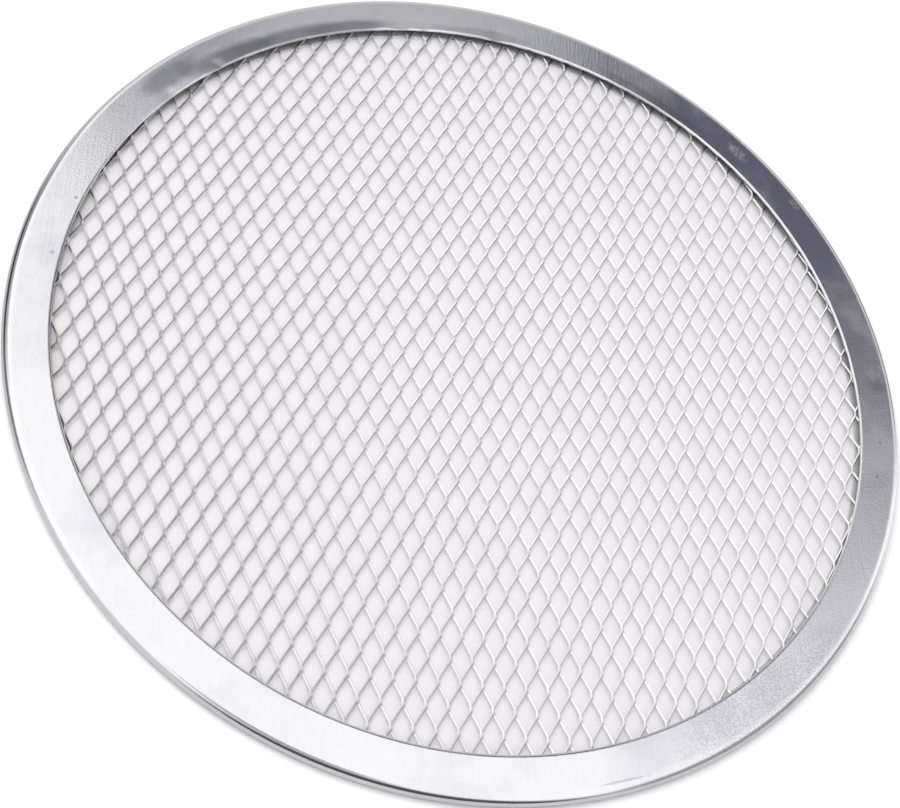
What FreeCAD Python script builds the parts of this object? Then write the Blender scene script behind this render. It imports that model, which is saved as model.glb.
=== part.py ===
import FreeCAD, Part
import os
from math import asin, atan2, cos, degrees, floor, hypot, radians, sin, sqrt

# Pizza screen: a flat disc of expanded metal, held all round in a ring that is folded over its edge.
# Lengths are in millimetres. The ring lies flat on z = 0 and the vertical axis runs through its centre.
# The openings are diamonds: their long way runs along Y and their short way along X.

# The folded ring
outer_diameter = 254.0
flange_width = 12.2         # from the outermost edge to the inner edge of both flanges
bead_height = 4.2           # over the round fold
sheet_thickness = 0.6
inside_flats = 3            # in place of a round inside to the fold, which the disc's edge hides

# The expanded disc
opening_length = 20.4       # between knuckle centres along Y
opening_width = 9.2         # between knuckle centres along X
strand_width = 1.5
strand_height = 0.9

# How they fit
tuck_depth = 4.0            # how far the disc reaches in between the flanges
upper_clearance = 0.3       # from the upper strands to the upper flange

outer_radius = outer_diameter / 2
inner_radius = outer_radius - flange_width
bend_radius = bead_height / 2
bend_centre = outer_radius - bend_radius
disc_radius = inner_radius + tuck_depth
disc_floor = sheet_thickness
disc_middle = disc_floor + strand_height
disc_top = disc_middle + strand_height
flange_top = disc_top + upper_clearance + sheet_thickness

origin = FreeCAD.Vector(0, 0, 0)
upright = FreeCAD.Vector(0, 0, 1)
quarter_turn = radians(90)
full_turn = 360


def ring_point(radius, height):
    """A point of the ring's section, which lies in the plane y = 0."""
    return FreeCAD.Vector(radius, 0, height)


def bend_point(radius, angle):
    """A point of the fold's bend, at an angle up from straight outwards."""
    return ring_point(bend_centre + radius * cos(angle), bend_radius + radius * sin(angle))


def bend_outside(start, end):
    """The round outside of the fold between two angles, through the outermost point."""
    arc = Part.Arc(bend_point(bend_radius, start), bend_point(bend_radius, 0), bend_point(bend_radius, end))
    return arc.toBSpline()


def bend_inside(start, end):
    """The inside of the fold follows the outside, one sheet thickness in, as a few flats."""
    radius = bend_radius - sheet_thickness
    step = (end - start) / inside_flats
    corners = [bend_point(radius, start + place * step) for place in range(inside_flats + 1)]
    return [Part.LineSegment(near, far) for near, far in zip(corners, corners[1:])]


def upper_flange_slope():
    """The upper flange runs straight from its inner edge to the bend and meets it as a tangent."""
    reach = bend_centre - inner_radius
    rise = flange_top - bend_radius
    return asin(bend_radius / hypot(reach, rise)) - atan2(rise, reach)


def make_rim():
    """One strip of sheet, folded over the disc's edge: flat below and sloping gently inwards above."""
    slope = upper_flange_slope()
    upper_end = quarter_turn + slope
    lower_end = -quarter_turn
    through_sheet = ring_point(sin(slope), -cos(slope)) * sheet_thickness
    upper_edge = ring_point(inner_radius, flange_top)
    upper_edge_below = upper_edge + through_sheet
    lower_edge = ring_point(inner_radius, 0)
    lower_edge_above = ring_point(inner_radius, sheet_thickness)
    section = [
        Part.LineSegment(upper_edge, bend_point(bend_radius, upper_end)),
        bend_outside(upper_end, lower_end),
        Part.LineSegment(bend_point(bend_radius, lower_end), lower_edge),
        Part.LineSegment(lower_edge, lower_edge_above),
        Part.LineSegment(lower_edge_above, ring_point(bend_centre, sheet_thickness)),
        *bend_inside(lower_end, upper_end),
        Part.LineSegment(bend_point(bend_radius - sheet_thickness, upper_end), upper_edge_below),
        Part.LineSegment(upper_edge_below, upper_edge),
    ]
    outline = Part.Wire([curve.toShape() for curve in section])
    return Part.Face(outline).revolve(origin, upright, full_turn)


def strand(offset, bottom, direction):
    """A straight strand that passes the centre at an offset and ends at the disc's edge."""
    half_length = sqrt(disc_radius ** 2 - (abs(offset) + strand_width / 2) ** 2)
    corner = FreeCAD.Vector(-half_length, offset - strand_width / 2, bottom)
    bar = Part.makeBox(2 * half_length, strand_width, strand_height, corner)
    bar.rotate(origin, upright, direction)
    return bar


def strand_layer(bottom, direction):
    """All strands that run one way, evenly spaced, as far out as they still cross the others."""
    diagonal = hypot(opening_length, opening_width)
    spacing = opening_length * opening_width / diagonal
    farthest = sqrt(disc_radius ** 2 - (diagonal / 2) ** 2) - strand_width / 2
    count = floor(farthest / spacing)
    return [strand(place * spacing, bottom, direction) for place in range(-count, count + 1)]


def make_mesh_disc():
    """The raised mesh in one piece: where an upper strand lies on a lower one they are one metal."""
    lean = degrees(atan2(opening_width, opening_length))
    lower = strand_layer(disc_floor, degrees(quarter_turn) + lean)
    upper = strand_layer(disc_middle, degrees(quarter_turn) - lean)
    strands = lower + upper
    return strands[0].multiFuse(strands[1:]).removeSplitter()


def main():
    os.makedirs("parts", exist_ok=True)
    pieces = {"rim": make_rim(), "mesh_disc": make_mesh_disc()}
    for name, shape in pieces.items():
        shape.exportStep("parts/" + name + ".step")
        print(name, shape.ShapeType, len(shape.Solids), "solids", round(shape.Volume, 1), "mm3")


main()
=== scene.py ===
import math

import bmesh
import bpy
from mathutils import Matrix, Vector


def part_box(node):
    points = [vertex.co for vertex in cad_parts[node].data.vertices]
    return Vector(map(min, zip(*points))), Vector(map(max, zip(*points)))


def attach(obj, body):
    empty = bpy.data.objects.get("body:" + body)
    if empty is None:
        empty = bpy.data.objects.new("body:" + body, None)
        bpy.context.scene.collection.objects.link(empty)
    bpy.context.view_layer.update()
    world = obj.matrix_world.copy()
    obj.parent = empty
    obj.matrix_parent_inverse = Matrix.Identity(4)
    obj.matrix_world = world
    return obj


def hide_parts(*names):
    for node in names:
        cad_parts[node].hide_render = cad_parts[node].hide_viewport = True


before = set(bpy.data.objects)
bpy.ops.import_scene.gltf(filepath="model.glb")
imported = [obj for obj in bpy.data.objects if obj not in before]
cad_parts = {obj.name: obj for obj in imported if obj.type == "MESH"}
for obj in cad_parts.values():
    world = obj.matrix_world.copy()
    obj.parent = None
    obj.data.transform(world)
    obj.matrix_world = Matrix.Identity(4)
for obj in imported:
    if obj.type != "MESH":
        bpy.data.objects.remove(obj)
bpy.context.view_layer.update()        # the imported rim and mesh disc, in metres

# Pizza screen: a raised diamond mesh held in a folded sheet ring, on a pale floor under soft light.
mm = 0.001
scene = bpy.context.scene
scene.view_settings.view_transform = "Standard"


# Helpers for meshes

def newPiece(name, bm, material, sharpFrom=30):
    # smooth faces, with the edges kept sharp where the surface really folds
    limit = math.radians(sharpFrom)
    for face in bm.faces:
        face.smooth = True
    for edge in bm.edges:
        edge.smooth = len(edge.link_faces) == 2 and edge.calc_face_angle() < limit
    mesh = bpy.data.meshes.new(name)
    bm.to_mesh(mesh)
    bm.free()
    mesh.materials.append(material)
    piece = bpy.data.objects.new(name, mesh)
    scene.collection.objects.link(piece)
    return piece


def verticesOf(geometry):
    return [item for item in geometry if isinstance(item, bmesh.types.BMVert)]


# Helpers for node trees

def setInputs(tree, node, inputs):
    # a value is set on the socket itself, and another node's socket is linked to it
    for key, value in inputs.items():
        if isinstance(value, bpy.types.NodeSocket):
            tree.links.new(value, node.inputs[key])
        else:
            node.inputs[key].default_value = value


def addNode(tree, kind, inputs=None, **settings):
    node = tree.nodes.new(kind)
    for key, value in settings.items():
        setattr(node, key, value)
    setInputs(tree, node, inputs or {})
    return node


def calculate(tree, operation, first, second=0.0):
    return addNode(tree, "ShaderNodeMath", {0: first, 1: second}, operation=operation).outputs[0]


def measure(tree, operation, first, second=(0, 0, 0)):
    # one number from vectors: a length or a dot product
    inputs = {0: first, 1: second}
    return addNode(tree, "ShaderNodeVectorMath", inputs, operation=operation).outputs["Value"]


def stretch(tree, place, factors):
    inputs = {0: place, 1: factors}
    return addNode(tree, "ShaderNodeVectorMath", inputs, operation="MULTIPLY").outputs["Vector"]


def fade(tree, value, start, end, low=0.0, high=1.0):
    # a soft step from low to high while value goes from start to end
    return addNode(tree, "ShaderNodeMapRange", {0: value, 1: start, 2: end, 3: low, 4: high},
                   interpolation_type="SMOOTHSTEP").outputs[0]


def blendColours(tree, factor, first, second):
    # a Mix node's colours are its inputs 6 and 7, and its output 2
    inputs = {0: factor, 6: first, 7: second}
    return addNode(tree, "ShaderNodeMix", inputs, data_type="RGBA").outputs[2]


def clearTree(owner):
    owner.use_nodes = True
    owner.node_tree.nodes.clear()
    return owner.node_tree


# Camera

cameraView = {
    "place": (-90.6, -228.8, 353.85),     # millimetres
    "aim": (-7.24, -18.62, 2.1),
    "roll": 26.977,                       # degrees
    "lens": 61.785,
    "sensor": 36,
    "nearest": 0.01,                      # metres
    "farthest": 50,
}


def makeCamera(view):
    place = Vector(view["place"]) * mm
    forward = (Vector(view["aim"]) * mm - place).normalized()
    right = forward.cross(Vector((0, 0, 1))).normalized()
    up = right.cross(forward)
    roll = math.radians(view["roll"])
    across = right * math.cos(roll) + up * math.sin(roll)
    above = up * math.cos(roll) - right * math.sin(roll)
    data = bpy.data.cameras.new("photoCamera")
    data.lens = view["lens"]
    data.sensor_width = view["sensor"]
    data.clip_start = view["nearest"]
    data.clip_end = view["farthest"]
    camera = bpy.data.objects.new("photoCamera", data)
    turn = Matrix((across, above, -forward)).transposed().to_4x4()
    camera.matrix_world = Matrix.Translation(place) @ turn
    scene.collection.objects.link(camera)
    scene.camera = camera
    return right, forward


viewRight, viewForward = makeCamera(cameraView)
viewAway = Vector((viewForward.x, viewForward.y, 0)).normalized()
print("camera made")


# Node group of the rolled sheet: fine streaks along Y, a faint orange peel and cloudy smudges

grainLook = {
    "scales": {"Streak Scale": 900.0, "Peel Scale": 700.0, "Smudge Scale": 30.0},
    "streakStretch": (1.0, 0.06, 1.0),    # draws the streaks out along Y
    "streakDetail": 3.0,
    "peelDetail": 2.0,
    "smudgeDetail": 5.0,
    "smudgeRoughness": 0.6,
    "streakHeight": 0.6,                  # the shares of streaks and peel in the height
    "peelHeight": 0.4,
    "smudgeFade": (0.42, 0.66),
    "speckleFade": (0.40, 0.58),
}


def makeGrainGroup(look):
    tree = bpy.data.node_groups.new("rolledSheet", "ShaderNodeTree")
    number = "NodeSocketFloat"
    for name, value in look["scales"].items():
        made = tree.interface.new_socket(name=name, in_out="INPUT", socket_type=number)
        made.default_value = value
    for name in ("Height", "Streaks", "Smudges", "Speckle"):
        tree.interface.new_socket(name=name, in_out="OUTPUT", socket_type=number)
    scales = addNode(tree, "NodeGroupInput").outputs
    result = addNode(tree, "NodeGroupOutput")
    place = addNode(tree, "ShaderNodeTexCoord").outputs["Object"]

    def noise(where, scale, detail, roughness=0.5):
        inputs = {"Vector": where, "Scale": scale, "Detail": detail, "Roughness": roughness}
        return addNode(tree, "ShaderNodeTexNoise", inputs).outputs["Fac"]

    stretched = stretch(tree, place, look["streakStretch"])
    streaks = noise(stretched, scales["Streak Scale"], look["streakDetail"])
    peel = noise(place, scales["Peel Scale"], look["peelDetail"])
    smudges = noise(place, scales["Smudge Scale"], look["smudgeDetail"], look["smudgeRoughness"])
    streakHeight = calculate(tree, "MULTIPLY", streaks, look["streakHeight"])
    peelHeight = calculate(tree, "MULTIPLY", peel, look["peelHeight"])
    setInputs(tree, result, {
        "Height": calculate(tree, "ADD", streakHeight, peelHeight),
        "Streaks": streaks,
        "Smudges": fade(tree, smudges, *look["smudgeFade"]),
        "Speckle": fade(tree, peel, *look["speckleFade"]),
    })
    return tree


grainGroup = makeGrainGroup(grainLook)


def addWearAndShade(tree, look, colour, roughness, grain):
    # darker patches and rougher patches, each an oval on the flange with a ragged edge; the darker ones
    # along the inner edge are painted shade
    place = addNode(tree, "ShaderNodeTexCoord").outputs["Object"]
    height = addNode(tree, "ShaderNodeSeparateXYZ", {0: place}).outputs["Z"]
    onUpper = fade(tree, height, look["patchHeights"][0] * mm, look["patchHeights"][1] * mm)
    for patch in look["wearAndShade"]:
        turn = math.radians(patch["turn"])
        centre = Vector((math.cos(turn), math.sin(turn), 0)) * (patch["radius"] * mm)
        size = (patch["wide"] * mm, patch["long"] * mm, 1.0)
        spot = {"Vector": place, "Location": centre, "Rotation": (0, 0, turn), "Scale": size}
        local = addNode(tree, "ShaderNodeMapping", spot, vector_type="TEXTURE").outputs[0]
        distance = measure(tree, "LENGTH", stretch(tree, local, (1, 1, 0)))
        breakUp = calculate(tree, "MULTIPLY", grain["Smudges"], patch["ragged"])
        ragged = calculate(tree, "SUBTRACT", distance, breakUp)
        inside = calculate(tree, "MULTIPLY", fade(tree, ragged, *look["patchFade"]), onUpper)
        if "speckled" in patch:
            inside = calculate(tree, "MULTIPLY", inside, grain["Speckle"])
        # painted shade in part: the patch darkens toward the dark patch colour
        darkened = calculate(tree, "MULTIPLY", inside, patch["darken"])
        colour = blendColours(tree, darkened, colour, look["darkPatchColour"])
        dulled = calculate(tree, "MULTIPLY", inside, patch["dull"])
        roughness = calculate(tree, "ADD", roughness, dulled)
    return colour, roughness


def makeMetal(name, look, shadeRolledFaces=False):
    material = bpy.data.materials.new(name)
    tree = clearTree(material)
    scales = {
        "Streak Scale": look["streakScale"],
        "Peel Scale": look["peelScale"],
        "Smudge Scale": look["smudgeScale"],
    }
    grain = addNode(tree, "ShaderNodeGroup", scales, node_tree=grainGroup).outputs

    def attribute(name):
        return addNode(tree, "ShaderNodeAttribute", attribute_name=name).outputs["Fac"]

    smudge = calculate(tree, "MULTIPLY", grain["Smudges"], look["smudgeDepth"])
    clean = blendColours(tree, grain["Streaks"], look["streakColour"], look["colour"])
    if shadeRolledFaces:
        # painted shade: the rolled faces take a darker colour than the cut sides, for a duller mill finish
        # and for the shaded paper they mirror
        clean = blendColours(tree, attribute("shadeFreeSide"), look["rolledShadeColour"], clean)
    colour = blendColours(tree, smudge, clean, look["smudgeColour"])
    roughness = fade(tree, grain["Smudges"], 0.0, 1.0, *look["roughness"])
    metallic = 1.0
    if "wearAndShade" in look:
        colour, roughness = addWearAndShade(tree, look, colour, roughness, grain)
        # painted shade: the outer side of the fold is painted darker, most on the left, for the dark it
        # mirrors there
        colour = blendColours(tree, attribute("outerShade"), colour, look["outerShadeColour"])
        # painted shade: the inside of the fold takes a darker, half-diffuse finish, so the hollow shows the
        # grey of its shade and bounced light
        inside = attribute("foldInside")
        colour = blendColours(tree, inside, colour, look["insideShadeColour"])
        dulled = calculate(tree, "MULTIPLY", inside, look["insideRoughness"])
        roughness = calculate(tree, "ADD", roughness, dulled)
        metallic = fade(tree, inside, 0.0, 1.0, 1.0, look["insideMetallic"])
    relief = {"Height": grain["Height"], "Distance": look["bumpDistance"], "Strength": look["bumpStrength"]}
    bump = addNode(tree, "ShaderNodeBump", relief).outputs[0]
    surface = {"Base Color": colour, "Roughness": roughness, "Metallic": metallic, "Normal": bump}
    shader = addNode(tree, "ShaderNodeBsdfPrincipled", surface).outputs[0]
    addNode(tree, "ShaderNodeOutputMaterial", {0: shader})
    return material


# Folded ring

rimShape = {
    "innerRadius": 114.8,
    "sheet": 0.6,
    "flangeTop": 3.5,            # top of the upper flange at its inner edge
    "lowerInset": 0.4,           # how far the lower flange reaches in past the upper one
    "edgeRounding": 0.12,
    "roundingParts": 2,
    "roundedFrom": 60,           # degrees between two faces, past which their edge is rounded
    "sharpFrom": 50,             # past which it is shaded as a sharp one
    "outerSteps": 20,
    "innerSteps": 10,
    "flangeParts": 12,
    "lowerParts": 4,
    "insideParts": 3,
    "turnSteps": 432,
    "weld": 1e-7,                # metres
    # painted shade on the outer side from this outward tilt on; near one turn, on the left, it is darker and
    # starts higher up
    "outerShadeSide": {"start": 0.55, "soft": 0.2, "share": 0.6, "turn": 166, "spread": 50, "rise": 0.6},
    # the inside of the fold, to this margin, where it doesn't tilt further outwards
    "insideMargin": 0.02,
    "insideTilt": 0.3,
    # the face that takes the dents: this near to the flange's top, and facing up at least this much
    "topMargin": 0.05,
    "topTilt": 0.9,
    # small knocks in the upper flange: degrees round the ring from +X, millimetres
    "dents": [
        {"turn": 143.4, "radius": 116.6, "size": 1.6, "depth": 0.10},
        {"turn": 139.5, "radius": 118.3, "size": 1.8, "depth": -0.05},
        {"turn": 134.5, "radius": 116.4, "size": 1.8, "depth": 0.12},
        {"turn": 126.1, "radius": 118.6, "size": 2.4, "depth": 0.08},
        {"turn": 103.5, "radius": 116.8, "size": 3.0, "depth": 0.07},
        {"turn": 99.7, "radius": 117.0, "size": 2.6, "depth": 0.06},
        {"turn": 88, "radius": 117.0, "size": 3.0, "depth": 0.06},
        {"turn": 4.7, "radius": 122.2, "size": 2.0, "depth": 0.05},
    ],
}
rimFinish = {
    "colour": (0.90, 0.90, 0.91, 1),
    "streakColour": (0.84, 0.84, 0.855, 1),
    "smudgeColour": (0.66, 0.66, 0.70, 1),
    "smudgeDepth": 0.35,
    "smudgeScale": 26.0,
    "streakScale": 1500.0,
    "peelScale": 1900.0,
    "roughness": (0.10, 0.16),
    "bumpDistance": 0.00003,
    "bumpStrength": 0.6,
    "outerShadeColour": (0.28, 0.28, 0.295, 1),
    # painted shade for the hollow of the fold
    "insideShadeColour": (0.52, 0.52, 0.53, 1),
    "insideRoughness": 0.35,
    "insideMetallic": 0.35,
    "darkPatchColour": (0.26, 0.26, 0.29, 1),
    "patchHeights": (2.6, 3.2),      # heights between which the patches set in, on the upper flange alone
    "patchFade": (1.0, 0.35),     # from a patch's edge to where it is full, as shares of its size
    # half sizes in millimetres, wide across the flange and long round it
    "wearAndShade": [
        # painted shade: the first four and the sixth darken a strip along the inner edge on the left and far
        # side; the rest are darker and rougher patches and small specks
        {"turn": 112, "radius": 116.2, "wide": 3.2, "long": 16, "ragged": 0.15, "darken": 0.75, "dull": 0},
        {"turn": 122, "radius": 116.5, "wide": 3.6, "long": 20, "ragged": 0.15, "darken": 0.70, "dull": 0},
        {"turn": 62, "radius": 116.2, "wide": 2.2, "long": 22, "ragged": 0.5, "darken": 0.35, "dull": 0},
        {"turn": 92, "radius": 116.0, "wide": 2.2, "long": 16, "ragged": 0.6, "darken": 0.30, "dull": 0},
        {"turn": 141, "radius": 120.8, "wide": 4.2, "long": 13, "ragged": 0.15, "darken": 0.65, "dull": 0},
        {"turn": 131, "radius": 117.2, "wide": 4.0, "long": 18, "ragged": 0.15, "darken": 0.75, "dull": 0},
        {"turn": -50, "radius": 121.0, "wide": 9.0, "long": 36, "ragged": 0.3, "darken": 0.26, "dull": 0,
         "speckled": True},
        {"turn": 143, "radius": 121.0, "wide": 9.0, "long": 24, "ragged": 0.3, "darken": 0.16, "dull": 0,
         "speckled": True},
        {"turn": 46.5, "radius": 120.7, "wide": 2.4, "long": 5.0, "ragged": 0.9, "darken": 0, "dull": 0.09,
         "speckled": True},
        {"turn": 35, "radius": 123.2, "wide": 1.6, "long": 3.5, "ragged": 0.9, "darken": 0, "dull": 0.07,
         "speckled": True},
        {"turn": 5.4, "radius": 122.7, "wide": 1.5, "long": 2.6, "ragged": 1, "darken": 0.32, "dull": 0},
        {"turn": -5.3, "radius": 120.7, "wide": 0.5, "long": 0.5, "ragged": 0.3, "darken": 0.8, "dull": 0.1},
        {"turn": -10.8, "radius": 120, "wide": 0.5, "long": 0.6, "ragged": 0.3, "darken": 0.8, "dull": 0.1},
        {"turn": 166.4, "radius": 116.8, "wide": 0.7, "long": 0.7, "ragged": 0.3, "darken": 0.5, "dull": 0.1},
        {"turn": 175.8, "radius": 117.3, "wide": 0.7, "long": 0.7, "ragged": 0.3, "darken": 0.4, "dull": 0.1},
        {"turn": -73, "radius": 124.2, "wide": 0.35, "long": 6, "ragged": 0.9, "darken": 0.3, "dull": 0.1},
    ],
}


def makeRim(shape, material):
    low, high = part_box("rim")
    sheet = shape["sheet"] * mm
    inner = shape["innerRadius"] * mm
    outer = high.x
    bend = (high.z - low.z) / 2
    centre = Vector((outer - bend, 0, low.z + bend))
    flangeTop = shape["flangeTop"] * mm
    reach = centre.x - inner
    rise = flangeTop - centre.z
    slope = math.asin(bend / math.hypot(reach, rise)) - math.atan2(rise, reach)
    through = Vector((math.sin(slope), 0, -math.cos(slope))) * sheet
    topEdge = Vector((inner, 0, flangeTop))
    overTop = math.pi / 2 + slope
    tangent = centre + Vector((math.cos(overTop), 0, math.sin(overTop))) * bend
    lowerEdge = inner - shape["lowerInset"] * mm

    bm = bmesh.new()

    def line(start, end, parts=1):
        # a run of edges from a vertex to a point
        last = start
        for part in range(parts):
            step = start.co.lerp(end, (part + 1) / parts) if part + 1 < parts else end
            made = bmesh.ops.extrude_vert_indiv(bm, verts=[last])["verts"][0]
            made.co = step
            last = made
        return last

    def arc(start, angle, steps):
        made = bmesh.ops.spin(bm, geom=[start], cent=centre, axis=(0, 1, 0), angle=angle, steps=steps)
        return verticesOf(made["geom_last"])[0]

    # the section: outwards along the upper flange, round the bend, in under it, and back inside the fold
    first = bm.verts.new(topEdge)
    last = line(first, tangent, shape["flangeParts"])
    last = arc(last, overTop + math.pi / 2, shape["outerSteps"])
    last = line(last, Vector((lowerEdge, 0, low.z)), shape["lowerParts"])
    last = line(last, Vector((lowerEdge, 0, low.z + sheet)))
    last = line(last, Vector((centre.x, 0, low.z + sheet)), shape["insideParts"])
    last = arc(last, -overTop - math.pi / 2, shape["innerSteps"])
    last = line(last, topEdge + through, shape["insideParts"])
    bm.edges.new((last, first))
    bmesh.ops.spin(bm, geom=bm.verts[:] + bm.edges[:], cent=(0, 0, 0), axis=(0, 0, 1),
                   angle=math.tau, steps=shape["turnSteps"], use_merge=True)
    bmesh.ops.remove_doubles(bm, verts=bm.verts[:], dist=shape["weld"])
    bmesh.ops.recalc_face_normals(bm, faces=bm.faces[:])
    limit = math.radians(shape["roundedFrom"])
    corners = [edge for edge in bm.edges if len(edge.link_faces) == 2 and edge.calc_face_angle() > limit]
    bmesh.ops.bevel(bm, geom=corners, offset=shape["edgeRounding"] * mm, segments=shape["roundingParts"],
                    profile=0.5, affect="EDGES", material=-1)
    bm.normal_update()
    for name in ("outerShade", "foldInside"):
        bm.verts.layers.float.new(name)
    outerShade = bm.verts.layers.float["outerShade"]
    foldInside = bm.verts.layers.float["foldInside"]
    # painted shade on the outer side, deeper and starting higher up near one turn on the left
    dull = shape["outerShadeSide"]
    margin = shape["insideMargin"] * mm
    for vertex in bm.verts:
        x, y, z = vertex.co
        radius = math.hypot(x, y)
        outward = (vertex.normal.x * x + vertex.normal.y * y) / radius
        aside = abs((math.degrees(math.atan2(y, x)) - dull["turn"] + 180) % 360 - 180)
        near = max(0.0, 1 - aside / dull["spread"])
        tilted = min(1.0, max(0.0, (outward - dull["start"] + dull["rise"] * near) / dull["soft"]))
        share = dull["share"] + (1 - dull["share"]) * near
        vertex[outerShade] = tilted * share if radius > centre.x else 0.0
        between = (radius - inner) * math.tan(slope) + topEdge.z + through.z
        inCavity = low.z + sheet - margin < z < between + margin and outward < shape["insideTilt"]
        vertex[foldInside] = 1.0 if inCavity else 0.0
        onTop = abs((radius - inner) * math.tan(slope) + topEdge.z - z) < shape["topMargin"] * mm
        if onTop and radius < centre.x and vertex.normal.z > shape["topTilt"]:
            for dent in shape["dents"]:
                turn = math.radians(dent["turn"])
                awayX = x - math.cos(turn) * dent["radius"] * mm
                awayY = y - math.sin(turn) * dent["radius"] * mm
                away = math.hypot(awayX, awayY) / (dent["size"] * mm)
                vertex.co.z -= dent["depth"] * mm * math.exp(-away ** 2)
    print("rim faces", len(bm.faces))
    return newPiece("foldedRim", bm, material, shape["sharpFrom"])


rimMetal = makeMetal("satinRimSheet", rimFinish)
rimPiece = makeRim(rimShape, rimMetal)
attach(rimPiece, "root")
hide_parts("rim")
print("rim made")


# Diamond mesh

meshShape = {
    "longPitch": 12.5,           # between knuckles along Y
    "shortPitch": 5.65,          # between knuckles along X
    "strandWidth": 0.62,
    "sheet": 0.50,
    "tilt": 57.0,                # of the strands about Y, degrees
    "lean": -1,                  # -1: each knuckle rises towards -X
    "knuckleLength": 1.2,
    "bendLength": 0.5,           # from the knuckle to where the strand runs straight
    "middle": 1.55,              # height of the knuckles' centres
    "reach": 119.6,              # farthest knuckle from the axis
    "knuckleShadeFree": 0.55,          # how much of the rolled faces' painted shade a knuckle is spared, 1 for none
    "sharpFrom": 30,
    "weld": 1e-6,                # metres, for the two strands of a knuckle
    "weldAll": 2e-6,             # metres, for the whole mesh
    # how the stretching left the pattern: shifted, skewed and a little bowed, in millimetres
    "shift": (1.94, -3.20),
    "skewAlongX": 0.0175,        # sideways for each millimetre of Y
    "skewAlongY": 0.0140,
    "stretchY": 0.0026,
    "bowAt": 100,                # how far out the bow is as large as written
    "bowX": (-0.17, 0.0, 0.34),  # by X squared, X times Y, Y squared
    "bowY": (0.44, -0.60, 0.22),
}
meshFinish = {
    "colour": (0.90, 0.90, 0.90, 1),
    "streakColour": (0.88, 0.88, 0.885, 1),
    # painted shade: the rolled faces are darker than the cut sides
    "rolledShadeColour": (0.51, 0.51, 0.52, 1),
    "smudgeColour": (0.72, 0.72, 0.73, 1),
    "smudgeDepth": 0.25,
    "smudgeScale": 60.0,
    "streakScale": 1200.0,
    "peelScale": 2500.0,
    "roughness": (0.28, 0.36),
    "bumpDistance": 0.00003,
    "bumpStrength": 0.4,
}


def makeKnuckle(shape):
    # two strands side by side, each running half way to the next knuckle at either end
    sheet = shape["sheet"] * mm
    tilt = math.radians(shape["tilt"])
    lean = shape["lean"]
    across = Vector((lean * math.cos(tilt), 0, math.sin(tilt)))       # along a strand's width
    through = Vector((-lean * math.sin(tilt), 0, math.cos(tilt)))     # through the sheet
    half = shape["longPitch"] * mm / 4
    flat = shape["knuckleLength"] * mm / 2
    bendEnd = flat + shape["bendLength"] * mm
    bendMiddle = (flat + bendEnd) / 2
    slope = 1 / (half - bendMiddle)
    side = across * (shape["strandWidth"] * mm / 2)
    # from the knuckle to the middle of the strand, which it shares with the next knuckle's
    shift = Vector((lean * shape["shortPitch"] * mm / 4, 0, 0)) - side

    def strandPlace(along):
        distance = abs(along)
        share = max(0.0, distance - bendMiddle) * slope
        if distance < bendEnd:
            share = max(0.0, distance - flat) ** 2 / (2 * (bendEnd - flat)) * slope
        return side + shift * share + Vector((0, along, 0))

    bm = bmesh.new()
    shadeFreeSide = bm.faces.layers.float.new("shadeFreeSide")
    stations = [-half, -bendEnd, -bendMiddle, -flat, flat, bendMiddle, bendEnd, half]
    corners = [bm.verts.new(strandPlace(stations[0]) + side * wide + through * (sheet / 2) * thick)
               for wide, thick in ((1, 1), (1, -1), (-1, -1), (-1, 1))]
    section = bm.faces.new(corners)
    for before, after in zip(stations, stations[1:]):
        made = bmesh.ops.extrude_face_region(bm, geom=[section])["geom"]
        bmesh.ops.translate(bm, verts=verticesOf(made), vec=strandPlace(after) - strandPlace(before))
        bmesh.ops.delete(bm, geom=[section], context="FACES")
        section = [item for item in made if isinstance(item, bmesh.types.BMFace)][0]
    bmesh.ops.delete(bm, geom=[section], context="FACES")
    # the second strand is the first one turned half round the knuckle; their shared wall goes
    other = bmesh.ops.duplicate(bm, geom=bm.verts[:] + bm.edges[:] + bm.faces[:])["geom"]
    halfTurn = Matrix.Rotation(math.pi, 3, "Y")
    bmesh.ops.rotate(bm, verts=verticesOf(other), cent=(0, 0, 0), matrix=halfTurn)
    bmesh.ops.remove_doubles(bm, verts=bm.verts[:], dist=shape["weld"])
    walls = [face for face in bm.faces if face.calc_center_median().length < shape["weld"]]
    bmesh.ops.delete(bm, geom=walls, context="FACES_ONLY")
    bm.normal_update()
    # painted shade sits on the rolled faces: 0 takes all of it, the cut sides none, the knuckles' rolled
    # faces part
    for face in bm.faces:
        atKnuckle = abs(face.calc_center_median().y) < flat / 2
        rolled = shape["knuckleShadeFree"] if atKnuckle else 0.0
        isCut = abs(face.normal.dot(across)) > abs(face.normal.dot(through))
        face[shadeFreeSide] = 1.0 if isCut else rolled
    print("knuckle faces", len(bm.faces))
    bmesh.ops.translate(bm, verts=bm.verts[:], vec=(0, 0, shape["middle"] * mm))
    knuckle = bpy.data.meshes.new("knuckle")
    bm.to_mesh(knuckle)
    bm.free()
    return knuckle


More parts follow.
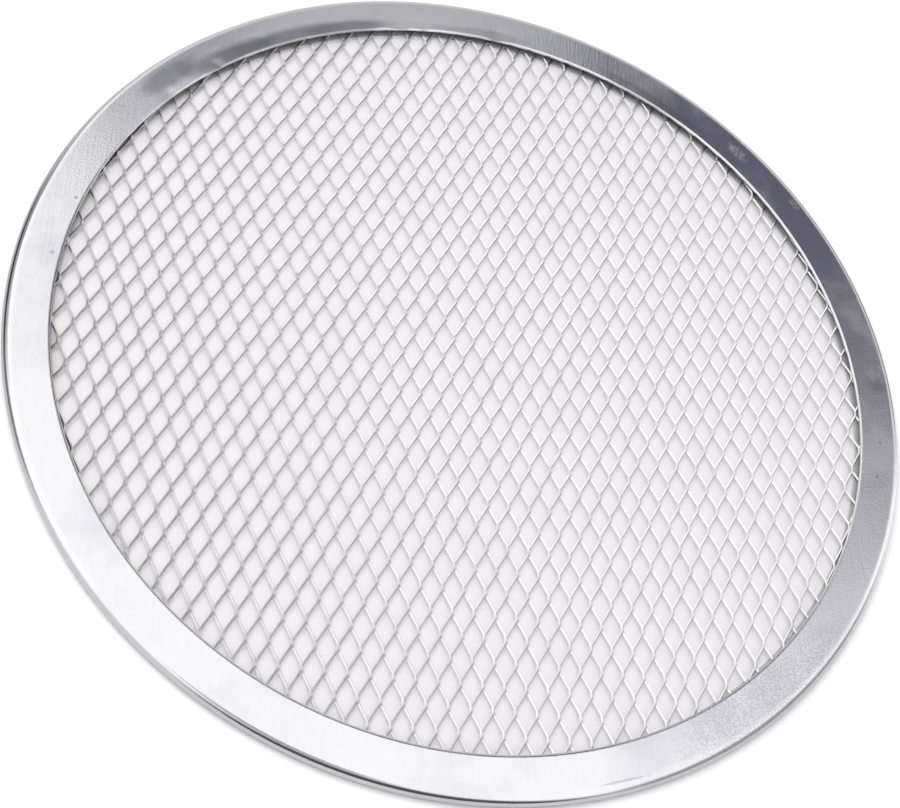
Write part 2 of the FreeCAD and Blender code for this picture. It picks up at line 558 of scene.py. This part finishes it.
def makeDiamondMesh(shape, material):
    longPitch = shape["longPitch"] * mm
    shortPitch = shape["shortPitch"] * mm
    reach = shape["reach"] * mm

    def pulled(place):
        # where the stretching left a point of the even pattern
        x = place.x / mm
        y = place.y / mm
        square = shape["bowAt"] ** 2
        powers = (x * x / square, x * y / square, y * y / square)
        bowX = sum(size * power for size, power in zip(shape["bowX"], powers))
        bowY = sum(size * power for size, power in zip(shape["bowY"], powers))
        movedX = x + shape["shift"][0] + shape["skewAlongX"] * y + bowX
        movedY = y * (1 + shape["stretchY"]) + shape["shift"][1] + shape["skewAlongY"] * x + bowY
        return Vector((movedX * mm, movedY * mm, place.z))

    knuckle = makeKnuckle(shape)
    whole = bmesh.new()
    rows = math.ceil(2 * reach / longPitch)
    columns = math.ceil(2 * reach / shortPitch)
    for row in range(-rows, rows + 1):
        for column in range(-columns, columns + 1):
            if (row + column) % 2:
                continue
            place = Vector((column * shortPitch / 2, row * longPitch / 2, 0))
            if pulled(place).length > reach:
                continue
            copy = knuckle.copy()
            copy.transform(Matrix.Translation(place))
            whole.from_mesh(copy)
            bpy.data.meshes.remove(copy)
    bpy.data.meshes.remove(knuckle)
    bmesh.ops.remove_doubles(whole, verts=whole.verts[:], dist=shape["weldAll"])
    for vertex in whole.verts:
        vertex.co = pulled(vertex.co)
    # close the cut ends of the strands, which have four sides and are hidden in the fold
    openEdges = [edge for edge in whole.edges if len(edge.link_faces) == 1]
    bmesh.ops.holes_fill(whole, edges=openEdges, sides=4)
    bmesh.ops.recalc_face_normals(whole, faces=whole.faces[:])
    leftOpen = [edge for edge in whole.edges if len(edge.link_faces) != 2]
    print("mesh faces", len(whole.faces), "open edges", len(leftOpen))
    return newPiece("diamondMesh", whole, material, shape["sharpFrom"])


meshMetal = makeMetal("brightMeshMetal", meshFinish, shadeRolledFaces=True)
meshPiece = makeDiamondMesh(meshShape, meshMetal)
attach(meshPiece, "root")
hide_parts("mesh_disc")
print("mesh made")


# Floor, light and surroundings

floorLook = {
    "colour": (0.92, 0.92, 0.925, 1),
    "under": (0.775, 0.76, 0.765, 1),    # painted shadow: the floor is greyer under the screen
    "underEnd": (0.118, 0.126),
    "cutOut": (0.1149, 0.1246),          # hidden under the ring, the floor lets light pass to below
    "size": 3.0,
    "gap": 0.00002,
}
lampLook = {"place": (-0.30, 0.05, 1.0), "aim": (0, 0, 0), "size": 0.7, "power": 5.0}
roomLook = {
    "bright": (1.10, 1.085, 1.12, 1),
    # the sloping flange mirrors a small oval of the ceiling, where dark gaps fan out between the panels
    "fanCentre": 0.544,
    "fanWidth": 0.158,
    "fanDepth": 0.08,
    "fanEnd": (2.0, 1.35),
    # degrees round the fan: 0 far, 90 right, 180 near, 270 left
    "gaps": [
        {"from": (-20, -10), "to": (38, 132), "depth": 0.97, "colour": (0.075, 0.070, 0.118, 1)},
        {"from": (277, 293), "to": (295, 311), "depth": 0.98, "colour": (0.075, 0.075, 0.10, 1)},
        {"from": (296, 310), "to": (345, 360), "depth": 0.37, "colour": (0.075, 0.075, 0.10, 1)},
        {"from": (345, 362), "to": (370, 380), "depth": 0.92, "colour": (0.075, 0.075, 0.11, 1)},
    ],
    # round panels and shades, each by its direction in the room (right, far and up, as the screen is
    # first seen) and by how near to that direction it starts and is full
    "shades": [
        {"toward": (-0.78, 0.28, 0.56), "near": (0.74, 0.90), "colour": (1.42, 1.42, 1.43, 1)},
        {"toward": (-0.85, 0.52, 0.08), "near": (0.93, 0.985), "colour": (1.4, 1.4, 1.4, 1)},
        {"toward": (-0.97, -0.10, 0.25), "near": (0.92, 0.98), "colour": (0.55, 0.55, 0.56, 1)},
        {"toward": (0.0, 0.95, 0.30), "near": (0.72, 0.86), "colour": (0.66, 0.66, 0.69, 1)},
        {"toward": (0.45, 0.87, 0.17), "near": (0.945, 0.985), "colour": (0.22, 0.22, 0.23, 1)},
        {"toward": (-0.68, 0.32, 0.66), "near": (0.955, 0.985), "colour": (0.78, 0.78, 0.79, 1)},
        {"toward": (-0.98, -0.10, 0.08), "near": (0.95, 0.99), "colour": (0.35, 0.35, 0.37, 1)},
        {"toward": (-0.94, 0.22, 0.22), "near": (0.955, 0.985), "colour": (0.10, 0.10, 0.11, 1)},
        {"toward": (0.97, 0.05, 0.20), "near": (0.80, 0.93), "colour": (0.42, 0.42, 0.44, 1)},
        {"toward": (0.35, -0.92, 0.15), "near": (0.70, 0.90), "colour": (0.12, 0.12, 0.13, 1)},
        {"toward": (0.0, -0.54, 0.84), "near": (0.94, 0.99), "colour": (0.45, 0.45, 0.46, 1)},
    ],
}


def makeFloor(look):
    bm = bmesh.new()
    bmesh.ops.create_grid(bm, x_segments=1, y_segments=1, size=look["size"] / 2)
    bmesh.ops.translate(bm, verts=bm.verts[:], vec=(0, 0, -look["gap"]))
    material = bpy.data.materials.new("paleFloor")
    tree = clearTree(material)
    place = addNode(tree, "ShaderNodeTexCoord").outputs["Object"]
    distance = measure(tree, "LENGTH", place)
    outside = fade(tree, distance, *look["underEnd"])
    # painted shadow: the floor is painted greyer inside the ring
    colour = blendColours(tree, outside, look["under"], look["colour"])
    pale = addNode(tree, "ShaderNodeBsdfDiffuse", {"Color": colour}).outputs[0]
    clear = addNode(tree, "ShaderNodeBsdfTransparent").outputs[0]
    back = addNode(tree, "ShaderNodeNewGeometry").outputs["Backfacing"]
    pastInner = calculate(tree, "GREATER_THAN", distance, look["cutOut"][0])
    beforeOuter = calculate(tree, "LESS_THAN", distance, look["cutOut"][1])
    underRing = calculate(tree, "MULTIPLY", pastInner, beforeOuter)
    unseen = calculate(tree, "MAXIMUM", back, underRing)
    both = addNode(tree, "ShaderNodeMixShader", {0: unseen, 1: pale, 2: clear}).outputs[0]
    addNode(tree, "ShaderNodeOutputMaterial", {0: both})
    floor = newPiece("paperFloor", bm, material)


def makeLamp(look):
    data = bpy.data.lights.new("softBox", "AREA")
    data.shape = "SQUARE"
    data.size = look["size"]
    data.energy = look["power"]
    lamp = bpy.data.objects.new("softBox", data)
    lamp.visible_glossy = False      # the metal mirrors the room alone
    place = Vector(look["place"])
    lamp.location = place
    lamp.rotation_mode = "QUATERNION"
    lamp.rotation_quaternion = (Vector(look["aim"]) - place).to_track_quat("-Z", "Y")
    scene.collection.objects.link(lamp)


def makeRoom(look):
    world = bpy.data.worlds.new("studioRoom")
    scene.world = world
    tree = clearTree(world)
    ray = addNode(tree, "ShaderNodeTexCoord").outputs["Generated"]

    def along(direction):
        return measure(tree, "DOT_PRODUCT", ray, direction)

    sky = look["bright"]
    for shade in look["shades"]:
        right, far, up = shade["toward"]
        direction = (viewRight * right + viewAway * far + Vector((0, 0, up))).normalized()
        share = fade(tree, along(direction), *shade["near"])
        sky = blendColours(tree, share, sky, shade["colour"])

    # where a ray meets the fan: across and inward from its centre, then as a turn and a distance
    across = calculate(tree, "DIVIDE", along(viewRight), look["fanWidth"])
    nearer = calculate(tree, "SUBTRACT", look["fanCentre"], along(viewAway))
    inward = calculate(tree, "DIVIDE", nearer, look["fanDepth"])
    fullTurn = 360.0
    angle = calculate(tree, "ARCTAN2", inward, across)
    fromRight = calculate(tree, "MULTIPLY", angle, 180 / math.pi)
    fromFar = calculate(tree, "ADD", fromRight, fullTurn + fullTurn / 4)
    turn = calculate(tree, "MODULO", fromFar, fullTurn)
    squares = [calculate(tree, "MULTIPLY", part, part) for part in (across, inward)]
    distance = calculate(tree, "SQRT", calculate(tree, "ADD", *squares))
    within = fade(tree, distance, *look["fanEnd"])
    for gap in look["gaps"]:
        rising = fade(tree, turn, *gap["from"])
        falling = fade(tree, turn, *gap["to"], low=1.0, high=0.0)
        between = calculate(tree, "MULTIPLY", rising, falling)
        share = calculate(tree, "MULTIPLY", between, gap["depth"])
        sky = blendColours(tree, calculate(tree, "MULTIPLY", share, within), sky, gap["colour"])

    # the camera sees plain white past the floor, and the metal mirrors the room
    lit = addNode(tree, "ShaderNodeBackground", {"Color": sky, "Strength": 1.0}).outputs[0]
    white = addNode(tree, "ShaderNodeBackground", {"Color": (1, 1, 1, 1), "Strength": 1.0}).outputs[0]
    seen = addNode(tree, "ShaderNodeLightPath").outputs["Is Camera Ray"]
    both = addNode(tree, "ShaderNodeMixShader", {0: seen, 1: lit, 2: white}).outputs[0]
    addNode(tree, "ShaderNodeOutputWorld", {0: both})


makeFloor(floorLook)
makeLamp(lampLook)
makeRoom(roomLook)
print("stage made")
